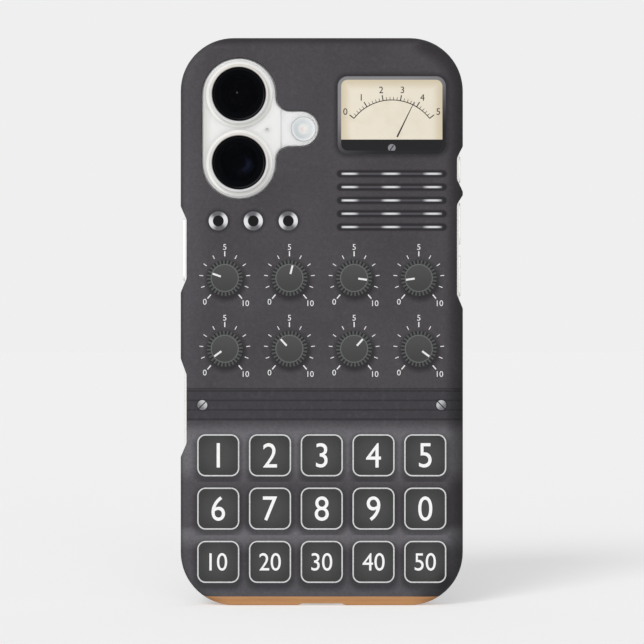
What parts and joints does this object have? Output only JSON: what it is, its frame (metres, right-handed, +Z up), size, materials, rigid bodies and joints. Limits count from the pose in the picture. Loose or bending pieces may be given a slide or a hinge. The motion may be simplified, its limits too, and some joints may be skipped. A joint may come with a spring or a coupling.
{
  "type": "smartphone in a hard case",
  "caption": "Slim smartphone in a thin printed hard case, upright on its bottom edge, with a raised camera bump and side cut-outs for its buttons.",
  "frame": {"origin": "middle of the bounding box's bottom face, on the surface that the case's bottom edge stands on", "axes": "+Z up the phone, -Y out of the case's printed back and +Y out of the display, +X to the right as the back is seen"},
  "size_m": [0.0744, 0.0114, 0.1495],
  "materials": {
    "case_plastic": "hard charcoal plastic, satin, printed outside",
    "frame_metal": "fine blasted and anodised, pale",
    "band_plastic": "moulded flush with the frame",
    "back_glass": "opaque white, etched matte; its camera plateau polished",
    "display_glass": "clear and polished over a dark display",
    "display_panel": "black when it is off",
    "dark_mesh": "fine dark woven mesh",
    "tape": "black adhesive foam",
    "ring_metal": "turned and polished",
    "lens_cover": "clear coated glass",
    "camera_body": "black",
    "lens_barrel": "black, ribbed against glare",
    "lens_element": "coated lens with a faint blue reflection",
    "sensor": "dark chip",
    "steel": "stamped, bright",
    "flash_lens": "moulded, with fine rings",
    "flash_holder": "white holder with two yellow lamps",
    "control_glass": "smooth touch surface",
    "flex": "amber flexible circuit",
    "black_plastic": "black moulded plastic",
    "board": "dark circuit board",
    "cone_rubber": "matte",
    "tungsten": "sintered, dark grey",
    "copper": "fine lacquered wire",
    "shield_metal": "thin dark foil",
    "magnet": "plated",
    "battery": "black foil pouch",
    "strip": "white stretch-release tape"
  },
  "bodies": {
    "phone": {"side_frame": "frame_metal", "antenna_bands": "band_plastic", "back_glass": "back_glass", "display_glass": "display_glass", "display_panel": "display_panel", "earpiece_mesh": "dark_mesh", "back_glass_tape": "tape", "display_tape": "tape", "main_lens_ring": "ring_metal", "main_lens_cover": "lens_cover", "main_camera_can": "camera_body", "main_camera_base": "steel", "wide_lens_ring": "ring_metal", "wide_lens_cover": "lens_cover", "wide_camera_can": "camera_body", "wide_camera_base": "steel", "wide_image_sensor": "sensor", "camera_cage": "steel", "flash_lens": "flash_lens", "flash_holder": "flash_holder", "rear_microphone_mesh": "dark_mesh", "rear_microphone": "steel", "button_switches": "steel", "button_cables": "flex", "port_shell": "steel", "port_tongue": "black_plastic", "port_board": "board", "bottom_screws": "steel", "sound_meshes": "dark_mesh", "bottom_microphone": "steel", "loudspeaker": "black_plastic", "motor_tray": "steel", "motor_lid": "steel", "motor_springs": "steel", "charging_coil": "copper", "coil_shield": "shield_metal", "magnet_ring": "magnet", "main_board": "board", "board_screws": "steel", "board_shields": "steel", "board_connectors": "black_plastic", "front_camera": "camera_body", "depth_sensors": "camera_body", "earpiece_speaker": "black_plastic", "battery": "battery", "battery_strips": "strip"},
    "case": {"hard_case": "case_plastic"},
    "main_lens": {"main_lens_barrel": "lens_barrel", "main_front_lens": "lens_element"},
    "wide_lens": {"wide_lens_barrel": "lens_barrel", "wide_front_lens": "lens_element"},
    "sensor_across": {"sensor_carrier": "steel"},
    "sensor_up": {"main_image_sensor": "sensor"},
    "motor_mass": {"motor_weight": "tungsten"},
    "cone": {"speaker_cone": "cone_rubber"},
    "action_button": {"action_button": "frame_metal"},
    "volume_up_button": {"volume_up_button": "frame_metal"},
    "volume_down_button": {"volume_down_button": "frame_metal"},
    "power_button": {"power_button": "frame_metal"},
    "camera_control": {"camera_control": "control_glass"}
  },
  "joints": [
    {"name": "case_off", "type": "slide", "parent": "phone", "child": "case", "axis": [0, -1, 0], "range_m": [0, 0.03]},
    {"name": "action_button_press", "type": "slide", "parent": "phone", "child": "action_button", "axis": [-1, 0, 0], "range_m": [0, 0.0003], "stiffness_N_per_m": 3000, "springref_m": -0.0004},
    {"name": "volume_up_button_press", "type": "slide", "parent": "phone", "child": "volume_up_button", "axis": [-1, 0, 0], "range_m": [0, 0.0003], "stiffness_N_per_m": 3000, "springref_m": -0.0004},
    {"name": "volume_down_button_press", "type": "slide", "parent": "phone", "child": "volume_down_button", "axis": [-1, 0, 0], "range_m": [0, 0.0003], "stiffness_N_per_m": 3000, "springref_m": -0.0004},
    {"name": "power_button_press", "type": "slide", "parent": "phone", "child": "power_button", "axis": [1, 0, 0], "range_m": [0, 0.0003], "stiffness_N_per_m": 3000, "springref_m": -0.0004},
    {"name": "camera_control_press", "type": "slide", "parent": "phone", "child": "camera_control", "axis": [1, 0, 0], "range_m": [0, 0.0002], "stiffness_N_per_m": 3000, "springref_m": -0.0004},
    {"name": "main_focus", "type": "slide", "parent": "phone", "child": "main_lens", "axis": [0, -1, 0], "range_m": [0, 0.00025], "stiffness_N_per_m": 150, "springref_m": -0.0002},
    {"name": "wide_focus", "type": "slide", "parent": "phone", "child": "wide_lens", "axis": [0, -1, 0], "range_m": [0, 0.00025], "stiffness_N_per_m": 150, "springref_m": -0.0002},
    {"name": "sensor_shift_across", "type": "slide", "parent": "phone", "child": "sensor_across", "axis": [1, 0, 0], "range_m": [-0.0001, 0.0001], "stiffness_N_per_m": 400},
    {"name": "sensor_shift_up", "type": "slide", "parent": "sensor_across", "child": "sensor_up", "axis": [0, 0, 1], "range_m": [-0.0001, 0.0001], "stiffness_N_per_m": 400},
    {"name": "motor_slide", "type": "slide", "parent": "phone", "child": "motor_mass", "axis": [1, 0, 0], "range_m": [-0.0006, 0.0006], "stiffness_N_per_m": 800},
    {"name": "cone_stroke", "type": "slide", "parent": "phone", "child": "cone", "axis": [0, -1, 0], "range_m": [-0.0002, 0.0002], "stiffness_N_per_m": 500}
  ]
}
